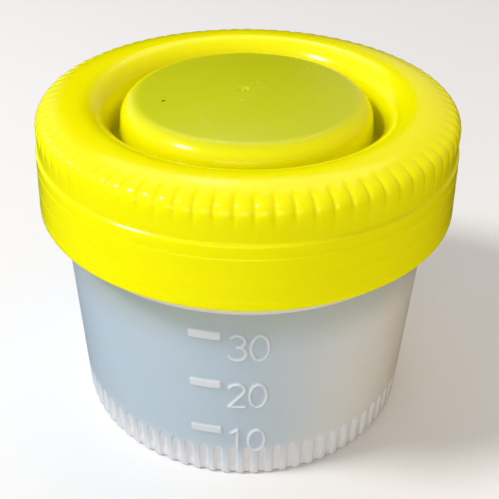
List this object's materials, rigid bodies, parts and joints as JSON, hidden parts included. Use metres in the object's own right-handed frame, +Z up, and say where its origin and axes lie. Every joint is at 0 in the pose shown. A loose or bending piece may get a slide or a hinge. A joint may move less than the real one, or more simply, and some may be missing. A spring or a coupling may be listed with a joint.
{
  "type": "specimen cup with screw cap",
  "caption": "Round translucent graduated specimen cup with a wide fluted screw cap, a ring channel and a raised centre; unscrews to open.",
  "frame": {"origin": "centre of the base, on the surface that the cup stands on", "axes": "+Z up along the axis of the cup and of the screw thread; -Y is the side with the graduations; +X is to the right when the graduations are read"},
  "size_m": [0.05, 0.05, 0.0412],
  "materials": {
    "frosted_plastic": "translucent, finely frosted",
    "soft_seal": "matte, soft",
    "yellow_plastic": "glossy, slightly translucent"
  },
  "bodies": {
    "cup": {"cup": "frosted_plastic", "cup_thread": "frosted_plastic", "graduation_marks": "frosted_plastic"},
    "seal": {"seal_ring": "soft_seal"},
    "cap": {"cap": "yellow_plastic", "cap_thread": "yellow_plastic"}
  },
  "joints": [
    {"name": "cap_lift", "type": "slide", "parent": "cup", "child": "seal", "axis": [0, 0, 1], "range_m": [0, 0.01]},
    {"name": "cap_turn", "type": "hinge", "parent": "seal", "child": "cap", "pos_m": [0, 0, 0.034], "axis": [0, 0, 1], "range_deg": [0, 900]}
  ],
  "couplings": [
    {"joint": "cap_lift", "follows": "cap_turn", "m_per_rad": 0.00063662}
  ]
}
